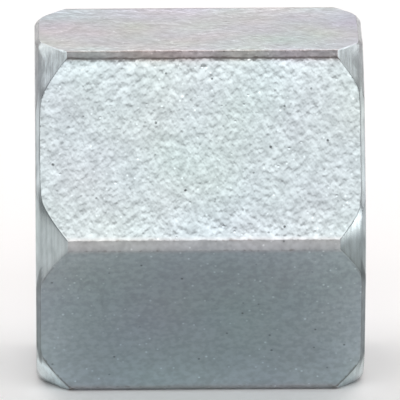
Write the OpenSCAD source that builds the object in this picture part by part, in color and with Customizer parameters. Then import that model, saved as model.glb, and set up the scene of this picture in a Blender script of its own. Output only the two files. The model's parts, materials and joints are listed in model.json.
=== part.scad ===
// Union nut, a hexagon nut that draws a tube and its sealing ring onto a threaded fitting.
// It lies on one flat, with the thread axis along X and the threaded mouth towards +X.
// The origin is on the thread axis, halfway along the nut. Millimetres, +Z up.

/* [Hexagon] */
// Width across the flats, the spanner size
across_flats = 17; // [16:0.5:24]
// Length of the nut along the thread axis
nut_length = 16; // [12:0.5:24]
// Width of the blunt band along each corner of the hexagon
corner_band = 0.5; // [0.2:0.05:1.5]

/* [End chamfers] */
// Slope of both turned end chamfers, in degrees from the thread axis
chamfer_angle = 31.5; // [25:0.5:45]
// Length of the turned chamfer along a corner, at the tube end
tube_end_chamfer = 1.55; // [0.8:0.05:2]
// Length of the turned chamfer along a corner, at the threaded mouth
mouth_end_chamfer = 1.3; // [0.8:0.05:2]
// Width of the small break that dulls every end edge
edge_break = 0.22; // [0.1:0.02:0.4]

/* [Thread] */
// Nominal diameter of the internal thread
thread_diameter = 14; // [10:0.5:15]
// Pitch of the internal thread
thread_pitch = 1.5; // [0.75:0.25:2]
// How far the mouth countersink opens beyond the nominal thread radius
countersink_margin = 0.1; // [0.05:0.05:0.4]

/* [Tube passage] */
// Outside diameter of the tube that the nut clamps
tube_diameter = 6; // [4:0.5:9]
// Clearance of the tube bore over the tube's diameter
tube_clearance = 0.2; // [0.1:0.05:0.5]
// Length of the tube bore, its edge chamfer included
tube_land = 3.1; // [1.5:0.1:5]
// Size of the chamfer at the outer edge of the tube bore
tube_edge = 0.3; // [0.1:0.05:0.8]
// Included angle of the clamping cone that presses on the sealing ring
cone_angle = 90; // [60:5:120]
// Length of the plain ring seat between the cone and the thread
seat_length = 1.5; // [0.5:0.1:3]
// How far the ring seat lies inside the nominal thread radius
seat_inset = 1; // [0.9:0.05:1.5]

/* [Hidden] */
$fn = 96;

// Overlap of cutting shapes past the faces that they cut
overrun = 1;

// Hexagon: the corner radius leaves a band of the stated width on each corner
flat_distance = across_flats / 2;
flat_half_width = flat_distance * tan(30) - corner_band / 2 / cos(30);
corner_radius = norm([flat_distance, flat_half_width]);
half_length = nut_length / 2;

// Radius of the circle in which an end chamfer would meet the end plane
function end_circle(chamfer_length) = corner_radius - chamfer_length * tan(chamfer_angle);

// Thread: height of the full internal profile of a 60 degree metric thread, as a share of the pitch
thread_depth_share = 5 / 8 * cos(30);
thread_radius = thread_diameter / 2;
crest_radius = thread_radius - thread_depth_share * thread_pitch;
countersink_radius = thread_radius + countersink_margin;
countersink_depth = countersink_radius - crest_radius;

// Tube passage, with each station measured along the thread axis
bore_radius = (tube_diameter + tube_clearance) / 2;
seat_radius = thread_radius - seat_inset;
cone_length = (seat_radius - bore_radius) / tan(cone_angle / 2);
cone_start = -half_length + tube_land;
seat_start = cone_start + cone_length;
thread_start = seat_start + seat_length;
thread_end = half_length - countersink_depth;

// Two opposite flats of the hexagon, with the edges at both ends broken
module flat_pair() {
    broken_length = half_length - edge_break;
    broken_distance = flat_distance - edge_break;
    quarter = [[half_length, broken_distance], [broken_length, flat_distance]];
    outline = concat(
        quarter,
        [for (p = [quarter[1], quarter[0]]) [-p[0], p[1]]],
        [for (p = quarter) [-p[0], -p[1]]],
        [for (p = [quarter[1], quarter[0]]) [p[0], -p[1]]]
    );
    rotate([90, 0, 0])
        linear_extrude(height = 2 * across_flats, center = true)
            polygon(outline);
}

// Hexagon bar cut to length: three pairs of flats
module hexagon_bar() {
    intersection_for (turn = [0, 60, 120])
        rotate([turn, 0, 0]) flat_pair();
}

// A shape turned about the X axis, from an outline of [radius, station] points
module turned(outline) {
    rotate([0, 90, 0])
        rotate_extrude()
            polygon(outline);
}

// Outline of one end of the turned blank, from the end plane up to the corner radius
function blank_end(chamfer_length) = let (rim = end_circle(chamfer_length)) [
    [rim - edge_break, half_length],
    [rim + edge_break * sin(chamfer_angle), half_length - edge_break * cos(chamfer_angle)],
    [corner_radius, half_length - chamfer_length]
];

// Turned blank that blunts the corners and chamfers both ends
module turned_blank() {
    mouth_end = blank_end(mouth_end_chamfer);
    tube_end = blank_end(tube_end_chamfer);
    turned(concat(
        [[0, half_length]],
        mouth_end,
        [for (i = [len(tube_end) - 1 : -1 : 0]) [tube_end[i][0], -tube_end[i][1]]],
        [[0, -half_length]]
    ));
}

// Everything that is bored from the two ends: tube bore, clamping cone, ring seat and thread core
module passage() {
    turned([
        [0, -half_length - overrun],
        [bore_radius + tube_edge + overrun, -half_length - overrun],
        [bore_radius, -half_length + tube_edge],
        [bore_radius, cone_start],
        [seat_radius, seat_start],
        [seat_radius, thread_start],
        [crest_radius, thread_start],
        [crest_radius, thread_end],
        [countersink_radius + overrun, half_length + overrun],
        [0, half_length + overrun]
    ]);
}

// The nut, one turned and bored length of hexagon bar
module union_nut() {
    color([0.78, 0.80, 0.81])
        difference() {
            intersection() {
                hexagon_bar();
                turned_blank();
            }
            passage();
        }
}

union_nut();
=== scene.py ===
"""Looks of the union nut: a bright zinc-plated hexagon nut lying on one flat.

The nut is one closed mesh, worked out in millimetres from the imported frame: the hexagon with its
blunt corners and turned end chamfers outside, the tube bore, clamping cone, ring seat and helical
thread inside. Angles run about the thread axis X, from +Y towards +Z.
"""

import json
import math

import bmesh
import bpy
import numpy as np
from mathutils import Matrix, Vector


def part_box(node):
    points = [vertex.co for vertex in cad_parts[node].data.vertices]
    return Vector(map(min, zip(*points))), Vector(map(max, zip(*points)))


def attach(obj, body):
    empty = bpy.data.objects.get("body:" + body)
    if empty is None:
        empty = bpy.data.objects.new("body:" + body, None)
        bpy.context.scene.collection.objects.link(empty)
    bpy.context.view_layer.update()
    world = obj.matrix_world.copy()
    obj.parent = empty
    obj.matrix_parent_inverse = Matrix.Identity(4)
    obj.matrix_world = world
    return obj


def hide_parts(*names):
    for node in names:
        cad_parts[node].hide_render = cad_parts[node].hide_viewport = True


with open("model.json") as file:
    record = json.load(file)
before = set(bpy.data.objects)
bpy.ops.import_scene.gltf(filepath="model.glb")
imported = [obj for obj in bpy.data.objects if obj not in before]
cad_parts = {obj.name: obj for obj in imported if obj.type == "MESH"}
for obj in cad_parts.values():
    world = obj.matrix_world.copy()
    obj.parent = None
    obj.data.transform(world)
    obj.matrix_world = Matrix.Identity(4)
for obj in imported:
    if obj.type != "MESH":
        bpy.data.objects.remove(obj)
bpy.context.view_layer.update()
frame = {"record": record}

NODE = "union_nut"
MM = 0.001
CORNERS = 6
SECTOR = 2 * math.pi / CORNERS
seed = np.random.default_rng(14)

# Sizes that the frame gives, in millimetres
node_low, node_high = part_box(NODE)
half_length = node_high.x / MM
corner_radius = node_high.y / MM
flat_distance = node_high.z / MM
flat_half_width = math.sqrt(corner_radius**2 - flat_distance**2)
mounts = {mount["name"]: mount["dims"] for mount in frame["record"]["mounts"] if mount["dims"]}
crest_radius = mounts["thread"]["r_mm"]
bore_radius = mounts["tube_bore"]["r_mm"]

# Sizes that repeat the solid's named values, in millimetres
chamfer_slope = math.tan(math.radians(31.5))
tube_end_chamfer = 1.55
mouth_end_chamfer = 1.3
edge_break = 0.22
thread_radius = 7.0
thread_pitch = 1.5
countersink_radius = thread_radius + 0.1
seat_radius = thread_radius - 1.0
seat_length = 1.5
tube_edge = 0.3
thread_end = half_length - (countersink_radius - crest_radius)
thread_start = thread_end - mounts["thread"]["length_mm"]
seat_start = thread_start - seat_length
cone_start = -half_length + tube_edge + mounts["tube_bore"]["length_mm"]

# Thread profile in shares of the pitch, and the turns over which it runs out at its start
root_flat = 1 / 8
crest_flat = 1 / 4
flank = (1 - root_flat - crest_flat) / 2
run_out_turns = 1.2

# How softly surfaces run into each other, in millimetres: a flat into a blunt corner and into the cuts
# at its end, those cuts into each other and into the end face, and the steps of the passage
band_blend = 0.028
chamfer_blend = 0.018
arc_blend = 0.2
break_blend = 0.015
passage_round = 0.06

# How unevenly the six blunt corners are worn along their length, in millimetres
corner_wear = 0.008
wear_waves = 14
longest_wave = 7.0
wave_samples = 500

# Widths in which the finish changes: the worn strip along an outer edge, the fades onto a broken end
# edge and a blunt corner, the smeared strip of a flat beside a corner, and the height over which the
# lower half's wear sets in
edge_width = 0.16
rim_fade = 0.06
corner_fade = 0.1
smear_width = 2.2
lower_fade = 0.5

# Share of the upper corners' wear that the corners at half height have
front_wear = 0.72

# Density of the mesh, and how strongly its rows crowd towards an edge
flat_columns = 34
corner_columns = 10
middle_rows = 56
leg_rows = 11
face_rows = 5
flank_rows = 4
crowding = 2.2
passage_step = 0.5
merge_distance = 0.0008
sharp_angle = math.radians(38)

# Where the rows over an end start from: how far inside the end plane, and how far under the flats
shoulder_length = 2.2
shoulder_depth = 1.2

# A line to the skin is followed this many times as far as its second point, and that stretch is halved
# this often. A rounded step of the passage takes at most this share of a leg.
skin_reach = 1.3
halvings = 45
round_share = 0.4

# Light of the room, where 1 is white, and of the lamps, whose rows give azimuth and elevation in
# degrees, distance, width and height in metres, and radiance
back_level = 0.76
front_level = 0.38
zenith_level = 0.31
lamps = {
    "front_softbox": (0, 38, 0.9, 0.8, 0.42, 2.4),
    "back_softbox": (180, 40, 0.9, 1.2, 0.6, 1.6),
    "top_softbox": (180, 73, 0.9, 0.4, 0.2, 0.5),
    "back_left_softbox": (-118, 56, 0.9, 0.5, 0.5, 0.95),
    "back_right_softbox": (118, 56, 0.9, 0.5, 0.5, 0.95),
    "left_softbox": (-98, 16, 0.9, 0.4, 0.4, 0.75),
    "right_softbox": (98, 16, 0.9, 0.4, 0.4, 0.95),
    "fill_softbox": (0, 14, 0.9, 1.2, 0.2, 1.4),
    "low_softbox": (63.5, 2.6, 0.07, 0.018, 0.02, 3.4),
}

# The room's back wall turns into its front over this share of depth, its walls into its ceiling
# between these shares of height
wall_turn = 0.35
ceiling_start = 0.45
ceiling_full = 0.95

# Colours: a cool light zinc, brighter where it was turned, warmer where it is rubbed or stained, cooler
# on the lower half as a painted shade tint, and dark in its worn lines, then those of the room
zinc_colour = (0.338, 0.387, 0.403)
turned_colour = (0.365, 0.418, 0.435)
plain_tint = (1, 1, 1, 1)
corner_tint = (1.09, 0.99, 0.97, 1)
stain_tint = (1.05, 0.99, 1.0, 1)
painted_shade_tint = (0.98, 1.0, 1.025, 1)
worn_tint = (0.72, 0.68, 0.66, 1)
outline_tint = (0.6, 0.56, 0.53, 1)
wall_tint = (1.07, 0.99, 0.98)
lamp_tint = (1.03, 1.0, 0.985)
floor_colour = (0.97, 0.985, 0.99, 1)
floor_roughness = 0.9
floor_size = 3.0

# Noises of the drawn finish and of the film: cells to the millimetre along X, Y and Z, and detail. The
# film is shifted by some cells, and all of them are turned by the same angles in radians.
grain_noise = ((5.2, 3.8, 3.8), 0.8)
flow_noise = ((2.0, 1.8, 1.8), 1.0)
cloud_noise = ((2.0, 1.8, 1.8), 3.0)
line_noise = ((0.8, 2.2, 2.2), 2.0)
speckle_noise = ((3.4, 3.8, 3.8), 1.0)
film_noise = ((0.22, 0.22, 0.22), 1.5)
film_shift = (14.8, 5.2, 11.6)
noise_turn = (0.9, 0.5, 0.3)

# Values between which most of a noise lies
noise_low = 0.3
noise_high = 0.7

# Depth of the drawn finish's grain in millimetres, and what else shares in it: a swell that grows
# beside the corners, pits, and less of it all on the blunt corners
grain_depth = 0.021
flow_share = 0.4
smear_share = 1.6
pit_share = -0.55
corner_share = 0.8

# Shades of the drawn finish, from its darkest to its lightest or from none of a share to all of it.
# The lower flats' shades are painted light and shade, from their foot to the front corner: lighter at
# the foot and darker under the front corner, making up for the floor's contact shadow in their
# reflection.
speckle_shades = (0.92, 1.08)
line_shades = (0.97, 1.03)
painted_fall_shades = (1.15, 0.88)
mark_shades = (1.55, 0.45)
glint_shades = (1.0, 1.5)
smear_shades = (1.0, 1.13)
edge_shades = (1.0, 0.92)
upper_clouds = 0.1
lower_clouds = 0.015
drawn_roughness = (0.28, 0.34)

# Spacing and radius of the pits and specks, and of the glints, in millimetres, and the random shares
# between which a mark turns from a speck into a pit
mark_size = (0.7, 0.09)
glint_size = (0.5, 0.09)
pit_chance = (0.5, 0.7)

# Dark lines along the edges: how much the grain roughens them, the range over which they come in, the
# patches along the bar, and the depth below the front corner at which the chamfers' lines are full
worn_grain = 0.9
worn_range = (1.1, 1.4)
patch_range = (0.3, 0.5)
outline_grain = 0.6
outline_range = (0.8, 1.15)
outline_fade = 3.0

# How strongly the film colours the zinc and the stained flat on top, and the share of the flats'
# distance from the axis at which the stain sets in
film_strength = 0.045
stain_strength = 0.22
stain_start = 0.9

# Turned finish: the length in radians and the detail of its rings and of its short strokes, the share
# of the rings' cells that the strokes have, cells to the millimetre, depths in millimetres and shades
ring_stroke = (1.2, 2.0)
short_stroke = (0.08, 1.0)
short_share = 0.8
turned_cells = 6.0
turned_depth = 0.0055
bored_cells = 7.0
bored_depth = 0.004
ring_shades = (0.92, 1.07)
stroke_shades = (0.89, 1.1)
border_shades = (1.0, 0.85)
# The broken end edges of the lower half are darkened by these shades as painted shade
painted_rim_shades = (1.0, 0.6)
turned_roughness = (0.27, 0.17)

# Spots of painted shade (shade below 1) and painted light (shade above 1) on the end chamfers: end,
# angle in degrees, radius in millimetres and shade. Their middles lie a little inside the corner and the
# end, and their cores are even.
painted_spots = (
    (1, 108, 1.3, 0.86),
    (1, 122, 1.8, 1.16),
    (1, 186, 1.7, 0.6),
    (1, 237, 1.5, 1.4),
    (-1, 108, 1.3, 0.88),
    (-1, 178, 1.8, 1.1),
    (-1, 237, 1.5, 1.9),
)
spot_depth = 0.5
spot_core = 0.6

# Camera at the photograph's angle, in degrees and metres, its aim in pixels, and the size of a pixel at
# the nut
camera_azimuth = -0.72
camera_elevation = 13.8
camera_roll = 0.18
camera_distance = 0.7
camera_aim = (1.4, -2.1)
camera_nearest = 0.01
pixel = 0.04904 * MM
picture_width = 400

# Faces are sorted into these finishes
DRAWN, TURNED, BORED = range(3)


def smooth_max(a, b, blend):
    """The larger of two fields, with the edge between them rounded inwards."""
    return np.maximum(a, b) + np.maximum(blend - np.abs(a - b), 0) ** 2 / (4 * blend)


def smooth_step(share):
    """A share from 0 to 1, eased at both ends."""
    return (3 - 2 * share) * share**2


def wavy(depth):
    """A seeded wavy function of a length in millimetres, between 0 and -2 * depth."""
    order = np.arange(1, wear_waves + 1)
    phases = seed.uniform(0, 2 * math.pi, wear_waves)

    def total(at):
        turns = np.asarray(at)[..., None] * order / longest_wave
        return (np.sin(2 * math.pi * turns + phases) / np.sqrt(order)).sum(axis=-1)

    peak = np.abs(total(np.linspace(-half_length, half_length, wave_samples))).max()
    return lambda at: depth * (total(at) / peak - 1)


corner_waves = [wavy(corner_wear) for _ in range(CORNERS)]


def from_flat(theta):
    """Angle from the middle of the nearest flat."""
    return np.mod(theta, SECTOR) - SECTOR / 2


def flat_field(r, theta):
    """Distance outside the nearest flat."""
    return r * np.cos(from_flat(theta)) - flat_distance


def corner_field(x, r, theta):
    """Distance outside the blunt corners, which are a little worn along their length."""
    corner = np.mod(np.rint(theta / SECTOR).astype(int), CORNERS)
    worn = np.zeros(np.broadcast(x, theta).shape)
    for index, wave in enumerate(corner_waves):
        worn = np.where(corner == index, wave(x), worn)
    return r - corner_radius - worn


def end_circle(side):
    """Radius of the circle in which an end chamfer would meet the end plane."""
    chamfer = np.where(side > 0, mouth_end_chamfer, tube_end_chamfer)
    return corner_radius - chamfer * chamfer_slope


def chamfer_field(x, r):
    """Distance outside the nearer end chamfer."""
    inset = half_length - np.abs(x)
    return (r - end_circle(x) - inset * chamfer_slope) / math.hypot(1, chamfer_slope)


def outer_field(x, r, theta):
    """Negative inside the nut's outer skin, zero on it, positive outside."""
    inset = half_length - np.abs(x)
    flat = flat_field(r, theta)
    skin = smooth_max(flat, corner_field(x, r, theta), band_blend)
    end_cut = smooth_max(chamfer_field(x, r), (flat + edge_break - inset) / math.sqrt(2), arc_blend)
    skin = smooth_max(skin, end_cut, chamfer_blend)
    rim_slope = math.hypot(1, chamfer_slope) + chamfer_slope
    rim_break = r - end_circle(x) + edge_break - inset * rim_slope
    skin = smooth_max(skin, rim_break / math.hypot(1, rim_slope), break_blend)
    return smooth_max(skin, -inset, break_blend)


def finish_shares(x, r, theta):
    """Shares for the finish at points of the outer skin.

    They are nearness to a worn corner edge and to the border of a chamfer, being on the lower half,
    on a broken end edge there, off the end faces or on a blunt corner, and nearness to a corner on a
    flat.
    """
    inset = half_length - np.abs(x)
    height = r * np.sin(theta)
    flat = flat_field(r, theta)
    corner = corner_field(x, r, theta)
    lower = np.clip(0.5 - height / lower_fade, 0, 1)
    upper = np.clip(height / flat_half_width, 0, 1)
    beside_corner = np.clip(1 - np.abs(flat - corner) / edge_width, 0, 1)
    near_end = 1 - (inset - edge_break) / rim_fade
    near_flat = 1 + (flat + edge_break) / rim_fade
    from_corner = flat_half_width - np.abs(r * np.sin(from_flat(theta)))
    shares = {
        "edge": beside_corner * (front_wear + (1 - front_wear) * upper),
        "border": 1 - np.abs(flat - chamfer_field(x, r)) / edge_width,
        "lower": lower,
        "rim": np.clip(np.minimum(near_end, near_flat), 0, 1) * lower,
        "side": inset / rim_fade,
        "corner": (corner - flat) / corner_fade + 1,
        "smear": 1 - from_corner / smear_width,
    }
    return {name: np.clip(share, 0, 1) for name, share in shares.items()}


def reach_skin(from_x, from_r, to_x, to_r, theta):
    """Points where the lines from inside, through a second point, leave the outer skin."""
    near = np.zeros(to_x.shape)
    far = np.full(to_x.shape, skin_reach)
    for _ in range(halvings):
        middle = (near + far) / 2
        x = from_x + (to_x - from_x) * middle
        r = from_r + (to_r - from_r) * middle
        outside = outer_field(x, r, theta) > 0
        far = np.where(outside, middle, far)
        near = np.where(outside, near, middle)
    return from_x + (to_x - from_x) * near, from_r + (to_r - from_r) * near


def column_angles():
    """Angles of the mesh columns, crowded where the flats meet the blunt corners."""
    half_flat = math.acos(flat_distance / corner_radius)
    half_corner = SECTOR / 2 - half_flat
    flat_spread = np.sin(np.linspace(-1, 1, flat_columns, endpoint=False) * math.pi / 2)
    corner_spread = np.sin(np.linspace(-1, 1, corner_columns, endpoint=False) * math.pi / 2)
    sector = np.concatenate([corner_spread * half_corner, SECTOR / 2 + flat_spread * half_flat])
    return np.concatenate([sector + SECTOR * turn for turn in range(CORNERS)])


def between(start, end, shares):
    """Rows of points on the line between two key points, one row for each share."""
    start, end = np.broadcast_arrays(start, end)
    return start[None, :] + (end - start)[None, :] * shares[:, None]


def shoulder(side, theta):
    """Rows over one end, from the flats over the cuts to the end face."""
    start = np.full(theta.shape, half_length - shoulder_length)
    end = np.full(theta.shape, half_length)
    hexagon = np.minimum(flat_distance / np.cos(from_flat(theta)), corner_radius)
    rim = float(end_circle(side))
    drop = np.maximum(hexagon - rim, edge_break * chamfer_slope) / chamfer_slope
    key_x = [start, end - drop, end, end]
    key_r = [hexagon, hexagon, np.minimum(rim, hexagon - edge_break), hexagon - shoulder_depth]
    run = np.linspace(0, 1, leg_rows)
    legs = [1 - (1 - run) ** crowding, smooth_step(run), run**crowding]
    x, r = [key_x[0][None, :]], [key_r[0][None, :]]
    for i, leg in enumerate(legs):
        x.append(between(key_x[i], key_x[i + 1], leg[1:]))
        r.append(between(key_r[i], key_r[i + 1], leg[1:]))
    pivot_x = side * (half_length - shoulder_length)
    pivot_r = hexagon - shoulder_depth
    return reach_skin(pivot_x, pivot_r, side * np.concatenate(x), np.concatenate(r), theta)


def lathe(stations, theta):
    """Rows turned from (x, radius) stations."""
    x = np.array([[station[0]] for station in stations]) * np.ones(theta.shape)
    r = np.array([[station[1]] for station in stations]) * np.ones(theta.shape)
    return x, r


def eased(points, size):
    """The path of points with each inner corner replaced by two short legs through a curve's middle."""
    path = [Vector(points[0])]
    for before, corner, after in zip(points, points[1:], points[2:]):
        before, corner, after = Vector(before), Vector(corner), Vector(after)
        inwards = (before - corner).normalized() * min(size, (before - corner).length * round_share)
        onwards = (after - corner).normalized() * min(size, (after - corner).length * round_share)
        path += [corner + inwards, corner + (inwards + onwards) / 4, corner + onwards]
    return path + [Vector(points[-1])]


def divided(path, step):
    """The path with long legs divided, so that no face is much longer than a step."""
    points = [path[0]]
    for start, end in zip(path, path[1:]):
        count = max(1, round((end - start).length / step))
        points += [start.lerp(end, (i + 1) / count) for i in range(count)]
    return points


def skin_rows(theta):
    """Rows of the whole nut but the thread, from the mouth's edge round to the thread's start."""
    mouth_x, mouth_r = shoulder(1, theta)
    tube_x, tube_r = shoulder(-1, theta)
    last_flat = leg_rows - 1
    rows = []

    def add(x, r, finish):
        rows.extend((x[i], r[i], finish) for i in range(len(x)))

    face = np.linspace(0, 1, face_rows)
    add(between(mouth_x[-1], mouth_x[-1], face[:-1]),
        between(np.full(theta.shape, countersink_radius), mouth_r[-1], face[:-1]), TURNED)
    add(mouth_x[:last_flat:-1], mouth_r[:last_flat:-1], TURNED)
    add(mouth_x[last_flat::-1], mouth_r[last_flat::-1], DRAWN)
    middle_x = between(mouth_x[0], tube_x[0], np.linspace(0, 1, middle_rows)[1:-1])
    core = np.full(middle_x.shape, crest_radius)
    add(*reach_skin(middle_x, core, middle_x, np.full(core.shape, corner_radius), theta), DRAWN)
    add(tube_x[:last_flat], tube_r[:last_flat], DRAWN)
    add(tube_x[last_flat:], tube_r[last_flat:], TURNED)
    add(between(tube_x[-1], tube_x[-1], face[1:-1]),
        between(tube_r[-1], np.full(theta.shape, bore_radius + tube_edge), face[1:-1]), TURNED)
    passage = [
        (-half_length, bore_radius + tube_edge),
        (-half_length + tube_edge, bore_radius),
        (cone_start, bore_radius),
        (seat_start, seat_radius),
        (thread_start, seat_radius),
        (thread_start, crest_radius),
    ]
    add(*lathe(divided(eased(passage, passage_round), passage_step), theta), BORED)
    return rows


def thread_rows(theta):
    """Rows that climb with the thread, cut off at its start and at the mouth's countersink."""
    corners = np.cumsum([0, root_flat, flank, crest_flat, flank])
    radii = [thread_radius, thread_radius, crest_radius, crest_radius, thread_radius]
    legs = zip(corners, corners[1:])
    phases = np.concatenate([np.linspace(start, end, flank_rows)[:-1] for start, end in legs])
    climb = thread_pitch * theta / (2 * math.pi)
    turns = math.ceil((half_length - thread_start) / thread_pitch) + 1
    rows = []
    for turn in range(-1, turns):
        for phase in phases:
            x = thread_start + thread_pitch * (turn + phase) + climb
            x = np.clip(x, thread_start, half_length)
            run_out = np.clip((x - thread_start) / (run_out_turns * thread_pitch), 0, 1)
            depth = np.interp(phase, corners, radii) - crest_radius
            r = crest_radius + depth * smooth_step(run_out)
            rows.append((x, np.maximum(r, countersink_radius - (half_length - x)), BORED))
    return rows


def add_grid(mesh, rows, theta, closed):
    """Adds the quads between rows of points to a bmesh. A quad takes the finish of its second row."""
    made = []
    for x, r, _ in rows:
        points = np.stack([x, r * np.cos(theta), r * np.sin(theta)], axis=1) * MM
        made.append([mesh.verts.new(point) for point in points])
    count = len(theta)
    last = count if closed else count - 1
    for above, below, (_, _, finish) in zip(made, made[1:], rows[1:]):
        for i in range(last):
            j = (i + 1) % count
            face = mesh.faces.new((above[i], below[i], below[j], above[j]))
            face.material_index = finish
            face.smooth = True


def build_nut():
    """The nut as one closed mesh object, which carries the shares for its finish."""
    theta = column_angles()
    turned_once = np.append(theta, theta[0] + 2 * math.pi)
    shape = bmesh.new()
    add_grid(shape, skin_rows(theta), theta, closed=True)
    add_grid(shape, thread_rows(turned_once), turned_once, closed=False)
    bmesh.ops.remove_doubles(shape, verts=shape.verts, dist=merge_distance * MM)
    bmesh.ops.recalc_face_normals(shape, faces=shape.faces)
    data = bpy.data.meshes.new("nut_body")
    shape.to_mesh(data)
    shape.free()
    place = np.array([vertex.co for vertex in data.vertices]) / MM
    r = np.hypot(place[:, 1], place[:, 2])
    shares = finish_shares(place[:, 0], r, np.arctan2(place[:, 2], place[:, 1]))
    for name, share in shares.items():
        share = np.where(r > countersink_radius, share, 0).astype(np.float32)
        data.attributes.new(name, "FLOAT", "POINT").data.foreach_set("value", share)
    data.set_sharp_from_angle(angle=sharp_angle)
    piece = bpy.data.objects.new("nut_body", data)
    bpy.context.scene.collection.objects.link(piece)
    return piece


def new_material(name):
    """A material with its shader, ready for nodes."""
    material = bpy.data.materials.new(name)
    material.use_nodes = True
    tree = material.node_tree
    return material, tree, tree.nodes["Principled BSDF"]


def add_node(tree, kind, inputs, **settings):
    """A shader node with its settings made and its inputs linked or filled in, by name or place."""
    made = tree.nodes.new("ShaderNode" + kind)
    for name, value in settings.items():
        setattr(made, name, value)
    for name, value in inputs.items():
        if isinstance(value, bpy.types.NodeSocket):
            tree.links.new(value, made.inputs[name])
        else:
            made.inputs[name].default_value = value
    return made


def math_node(tree, operation, *values):
    """The result of a sum on sockets or numbers."""
    return add_node(tree, "Math", dict(enumerate(values)), operation=operation).outputs[0]


def vector_node(tree, operation, *values):
    """The result of a sum on vectors or colours."""
    made = add_node(tree, "VectorMath", dict(enumerate(values)), operation=operation)
    return made.outputs["Value" if operation in ("LENGTH", "DISTANCE") else "Vector"]


def ease(tree, value, start, end, low=0.0, high=1.0):
    """The value eased from low at its start to high at its end."""
    inputs = {"Value": value, "From Min": start, "From Max": end, "To Min": low, "To Max": high}
    return add_node(tree, "MapRange", inputs, interpolation_type="SMOOTHSTEP").outputs["Result"]


def mixed(tree, share, first, second):
    """A colour between two others, whose sockets come after those for numbers and vectors."""
    return add_node(tree, "Mix", {0: share, 6: first, 7: second}, data_type="RGBA").outputs[2]


def mixed_number(tree, share, first, second):
    """A number between two others."""
    return add_node(tree, "Mix", {0: share, 2: first, 3: second}, data_type="FLOAT").outputs[0]


def scaled(tree, vector, share):
    """A vector or colour times a share."""
    made = add_node(tree, "VectorMath", {0: vector, "Scale": share}, operation="SCALE")
    return made.outputs["Vector"]


def shaded(tree, colour, value, shades):
    """A colour that goes from one shade to another as a noise goes over its range."""
    return scaled(tree, colour, ease(tree, value, noise_low, noise_high, *shades))


def share_shaded(tree, colour, share, shades):
    """A colour that goes from one shade to another as a share goes from 0 to 1."""
    return scaled(tree, colour, ease(tree, share, 0, 1, *shades))


def tinted(tree, colour, share, tint):
    """A colour with a tint over some share of the surface."""
    return vector_node(tree, "MULTIPLY", colour, mixed(tree, share, plain_tint, tint))


def object_place(tree):
    """Place on the nut, in metres."""
    return add_node(tree, "TexCoord", {}).outputs["Object"]


def share_of(tree, name):
    """One of the shares that the mesh carries for its finish."""
    return add_node(tree, "Attribute", {}, attribute_name=name).outputs["Fac"]


def noise(tree, place, cells, detail, output="Fac", shift=(0, 0, 0)):
    """Noise with so many cells to the millimetre along each axis, turned away from the flats."""
    scale = tuple(count / MM for count in cells)
    inputs = {"Vector": place, "Location": shift, "Rotation": noise_turn, "Scale": scale}
    at = add_node(tree, "Mapping", inputs).outputs["Vector"]
    made = add_node(tree, "TexNoise", {"Vector": at, "Scale": 1.0, "Detail": detail})
    return made.outputs[output]


def ring_noise(tree, place, cells, stroke, detail):
    """Noise drawn out round the thread axis, in strokes of an angle, as a turning tool leaves it."""
    along = vector_node(tree, "MULTIPLY", place, (cells / MM, 0, 0))
    across = vector_node(tree, "MULTIPLY", place, (0, cells / MM, cells / MM))
    around = vector_node(tree, "NORMALIZE", across)
    inputs = {
        "Vector": vector_node(tree, "MULTIPLY_ADD", around, (1 / stroke, 1 / stroke, 1 / stroke), along),
        "W": vector_node(tree, "LENGTH", across),
        "Scale": 1.0,
        "Detail": detail,
    }
    return add_node(tree, "TexNoise", inputs, noise_dimensions="4D").outputs["Fac"]


def dots(tree, place, spacing, radius):
    """Round dots at scattered points, and a random share for each dot."""
    cells = add_node(tree, "TexVoronoi", {"Vector": place, "Scale": 1 / (spacing * MM)})
    dot = ease(tree, cells.outputs["Distance"], 0.0, radius / spacing, 1.0, 0.0)
    return dot, add_node(tree, "SeparateColor", {"Color": cells.outputs["Color"]}).outputs["Red"]


def pits_and_specks(tree, place):
    """Scattered marks, from -1 in the middle of a speck to 1 in the middle of a pit."""
    dot, chance = dots(tree, place, *mark_size)
    return math_node(tree, "MULTIPLY", dot, ease(tree, chance, *pit_chance, -1.0, 1.0))


def filmed(tree, place, colour, strength):
    """A colour with faint patches of other hues, as a passivation film shows."""
    film = noise(tree, place, *film_noise, "Color", film_shift)
    swing = vector_node(tree, "MULTIPLY_ADD", film, (2, 2, 2), (-1, -1, -1))
    tint = vector_node(tree, "ADD", scaled(tree, swing, strength), (1, 1, 1))
    return vector_node(tree, "MULTIPLY", tint, colour)


def worn_line(tree, grain, lines):
    """A dark line along the blunt corners, ragged with the grain and patchy along the bar."""
    ragged = math_node(tree, "MULTIPLY_ADD", grain, worn_grain, share_of(tree, "edge"))
    patches = ease(tree, lines, *patch_range)
    return math_node(tree, "MULTIPLY", ease(tree, ragged, *worn_range), patches)


def outline(tree, grain, above):
    """A thin dark line, ragged with the grain, where the lower end chamfers meet the flats."""
    ragged = math_node(tree, "MULTIPLY_ADD", grain, outline_grain, share_of(tree, "border"))
    low = ease(tree, above, -outline_fade * MM, 0, 1.0, 0.0)
    return math_node(tree, "MULTIPLY", ease(tree, ragged, *outline_range), low)


def spot_shade(tree, place, end, angle, radius, shade):
    """Shade of a soft round spot of painted shade, below 1, or painted light, above 1, on an end
    chamfer, at an angle about the axis.
    """
    middle = corner_radius - spot_depth
    across = (middle * math.cos(angle), middle * math.sin(angle))
    centre = Vector((end * (half_length - spot_depth), *across))
    away = vector_node(tree, "DISTANCE", place, centre * MM)
    return ease(tree, away, radius * spot_core * MM, radius * MM, shade, 1.0)


def set_metal(tree, shader, colour, roughness, height, depth):
    """Links a finish to a metal shader, with bumps of a depth in millimetres."""
    bump = add_node(tree, "Bump", {"Height": height, "Distance": depth * MM, "Strength": 1.0})
    shader.inputs["Metallic"].default_value = 1
    tree.links.new(colour, shader.inputs["Base Color"])
    tree.links.new(roughness, shader.inputs["Roughness"])
    tree.links.new(bump.outputs["Normal"], shader.inputs["Normal"])


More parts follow.
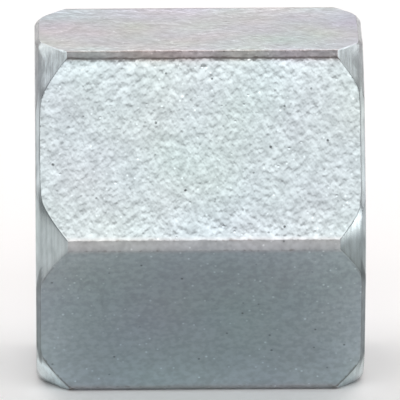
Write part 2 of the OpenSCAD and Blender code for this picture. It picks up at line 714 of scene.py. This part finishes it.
def drawn_colour(tree, place, grain, lines, marks):
    """Zinc with its film, stain, speckle, clouds, marks and worn edges, and painted shade on the lower
    flats.
    """
    above = add_node(tree, "SeparateXYZ", {"Vector": place}).outputs["Z"]
    stain = ease(tree, above, stain_start * flat_distance * MM, flat_distance * MM)
    # Painted light and shade on the lower flats: lighter at their foot and darker under the front corner
    painted_fall = ease(tree, above, -flat_distance * MM, 0, *painted_fall_shades)
    lower = share_of(tree, "lower")
    colour = filmed(tree, place, zinc_colour, ease(tree, stain, 0, 1, film_strength, stain_strength))
    colour = tinted(tree, colour, stain, stain_tint)
    # A cooler tint painted on the lower half, standing in for the shaded floor that it reflects
    colour = tinted(tree, colour, lower, painted_shade_tint)
    colour = scaled(tree, colour, mixed_number(tree, lower, 1.0, painted_fall))
    colour = tinted(tree, colour, share_of(tree, "corner"), corner_tint)
    colour = shaded(tree, colour, noise(tree, place, *speckle_noise), speckle_shades)
    colour = shaded(tree, colour, lines, line_shades)
    clouds = ease(tree, noise(tree, place, *cloud_noise), noise_low, noise_high, -1.0, 1.0)
    cloudy = ease(tree, lower, 0, 1, upper_clouds, lower_clouds)
    colour = scaled(tree, colour, math_node(tree, "MULTIPLY_ADD", clouds, cloudy, 1.0))
    colour = scaled(tree, colour, ease(tree, marks, -1.0, 1.0, *mark_shades))
    glints, _ = dots(tree, place, *glint_size)
    colour = share_shaded(tree, colour, glints, glint_shades)
    colour = share_shaded(tree, colour, share_of(tree, "smear"), smear_shades)
    colour = share_shaded(tree, colour, share_of(tree, "edge"), edge_shades)
    colour = tinted(tree, colour, worn_line(tree, grain, lines), worn_tint)
    return tinted(tree, colour, outline(tree, grain, above), outline_tint)


def drawn_height(tree, place, grain, marks):
    """Height of the drawn grain: rounded, swelling beside the corners, pitted and calmer on them."""
    swell = math_node(tree, "MULTIPLY_ADD", share_of(tree, "smear"), smear_share, flow_share)
    height = math_node(tree, "MULTIPLY_ADD", noise(tree, place, *flow_noise), swell, grain)
    height = math_node(tree, "MULTIPLY_ADD", marks, pit_share, height)
    calm = ease(tree, share_of(tree, "corner"), 0, 1, 1.0, corner_share)
    return math_node(tree, "MULTIPLY", height, calm)


def drawn_zinc():
    """Zinc over drawn bar: a rounded grain, faint lines along the bar, pits, specks and worn edges."""
    material, tree, shader = new_material("zinc_drawn")
    place = object_place(tree)
    grain = noise(tree, place, *grain_noise)
    lines = noise(tree, place, *line_noise)
    marks = pits_and_specks(tree, place)
    colour = drawn_colour(tree, place, grain, lines, marks)
    roughness = ease(tree, lines, noise_low, noise_high, *drawn_roughness)
    set_metal(tree, shader, colour, roughness, drawn_height(tree, place, grain, marks), grain_depth)
    return material


def turned_zinc(name, cells, depth):
    """Zinc over a turned face: rings and short strokes round the axis, spots of painted light and shade,
    dull borders and painted shade on the lower half's broken end edges.
    """
    material, tree, shader = new_material(name)
    place = object_place(tree)
    rings = ring_noise(tree, place, cells, *ring_stroke)
    strokes = ring_noise(tree, place, cells * short_share, *short_stroke)
    colour = filmed(tree, place, turned_colour, film_strength)
    colour = shaded(tree, colour, rings, ring_shades)
    colour = shaded(tree, colour, strokes, stroke_shades)
    # Spots of painted light and shade on the end chamfers, kept off the end faces
    for end, angle, radius, shade in painted_spots:
        spot = spot_shade(tree, place, end, math.radians(angle), radius, shade)
        colour = scaled(tree, colour, mixed_number(tree, share_of(tree, "side"), 1.0, spot))
    colour = share_shaded(tree, colour, share_of(tree, "border"), border_shades)
    # Painted shade on the broken end edges of the lower half
    colour = share_shaded(tree, colour, share_of(tree, "rim"), painted_rim_shades)
    roughness = ease(tree, rings, noise_low, noise_high, *turned_roughness)
    set_metal(tree, shader, colour, roughness, math_node(tree, "ADD", rings, strokes), depth)
    return material


def direction(azimuth, elevation):
    """A direction from the nut, in degrees. Azimuth 0 is the camera's side, 90 the mouth's side."""
    turn, lift = math.radians(azimuth), math.radians(elevation)
    return Vector((math.sin(turn) * math.cos(lift), -math.cos(turn) * math.cos(lift), math.sin(lift)))


def area_light(name, azimuth, elevation, distance, width, height, radiance):
    """A soft lamp that faces the nut."""
    towards = direction(azimuth, elevation)
    light = bpy.data.lights.new(name, "AREA")
    light.shape = "RECTANGLE"
    light.size = width
    light.size_y = height
    light.energy = radiance * math.pi * width * height
    light.color = lamp_tint
    lamp = bpy.data.objects.new(name, light)
    lamp.location = towards * distance
    lamp.rotation_euler = towards.to_track_quat("Z", "Y").to_euler()
    bpy.context.scene.collection.objects.link(lamp)


def build_world():
    """A studio room: a pale wall behind the nut, a dimmer room on the camera's side and overhead."""
    world = bpy.data.worlds.new("studio")
    world.use_nodes = True
    bpy.context.scene.world = world
    tree = world.node_tree
    place = add_node(tree, "TexCoord", {}).outputs["Generated"]
    split = add_node(tree, "SeparateXYZ", {"Vector": place}).outputs
    front = (front_level, front_level, front_level, 1)
    back = (*(back_level * channel for channel in wall_tint), 1)
    zenith = (*(zenith_level * channel for channel in wall_tint), 1)
    wall = mixed(tree, ease(tree, split["Y"], -wall_turn, wall_turn), front, back)
    rise_inputs = {"Value": split["Z"], "From Min": ceiling_start, "From Max": ceiling_full}
    rise = add_node(tree, "MapRange", rise_inputs).outputs["Result"]
    tree.links.new(mixed(tree, rise, wall, zenith), tree.nodes["Background"].inputs["Color"])


def build_floor():
    """A wide pale floor under the nut."""
    data = bpy.data.meshes.new("floor")
    signs = ((-1, -1), (1, -1), (1, 1), (-1, 1))
    corners = [(x * floor_size, y * floor_size, node_low.z) for x, y in signs]
    data.from_pydata(corners, [], [(0, 1, 2, 3)])
    floor = bpy.data.objects.new("floor", data)
    bpy.context.scene.collection.objects.link(floor)
    material, _, shader = new_material("pale_floor")
    shader.inputs["Base Color"].default_value = floor_colour
    shader.inputs["Roughness"].default_value = floor_roughness
    shader.inputs["Specular IOR Level"].default_value = 0
    data.materials.append(material)


def build_camera():
    """A long lens at the photograph's angle, a little above the nut and almost square to its side."""
    back = direction(camera_azimuth, camera_elevation)
    data = bpy.data.cameras.new("camera")
    data.angle = 2 * math.atan(picture_width * pixel / 2 / camera_distance)
    data.clip_start = camera_nearest
    camera = bpy.data.objects.new("camera", data)
    facing = back.to_track_quat("Z", "Y").to_matrix()
    aim = facing @ Vector((*camera_aim, 0)) * pixel
    roll = Matrix.Rotation(-math.radians(camera_roll), 4, "Z")
    camera.matrix_world = Matrix.Translation(aim + back * camera_distance) @ facing.to_4x4() @ roll
    bpy.context.scene.collection.objects.link(camera)
    bpy.context.scene.camera = camera


nut = build_nut()
nut.data.materials.append(drawn_zinc())
nut.data.materials.append(turned_zinc("zinc_turned", turned_cells, turned_depth))
nut.data.materials.append(turned_zinc("zinc_bored", bored_cells, bored_depth))
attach(nut, "root")
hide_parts(NODE)

build_floor()
build_world()
for lamp_name, lamp_row in lamps.items():
    area_light(lamp_name, *lamp_row)
build_camera()
bpy.context.scene.view_settings.view_transform = "Standard"
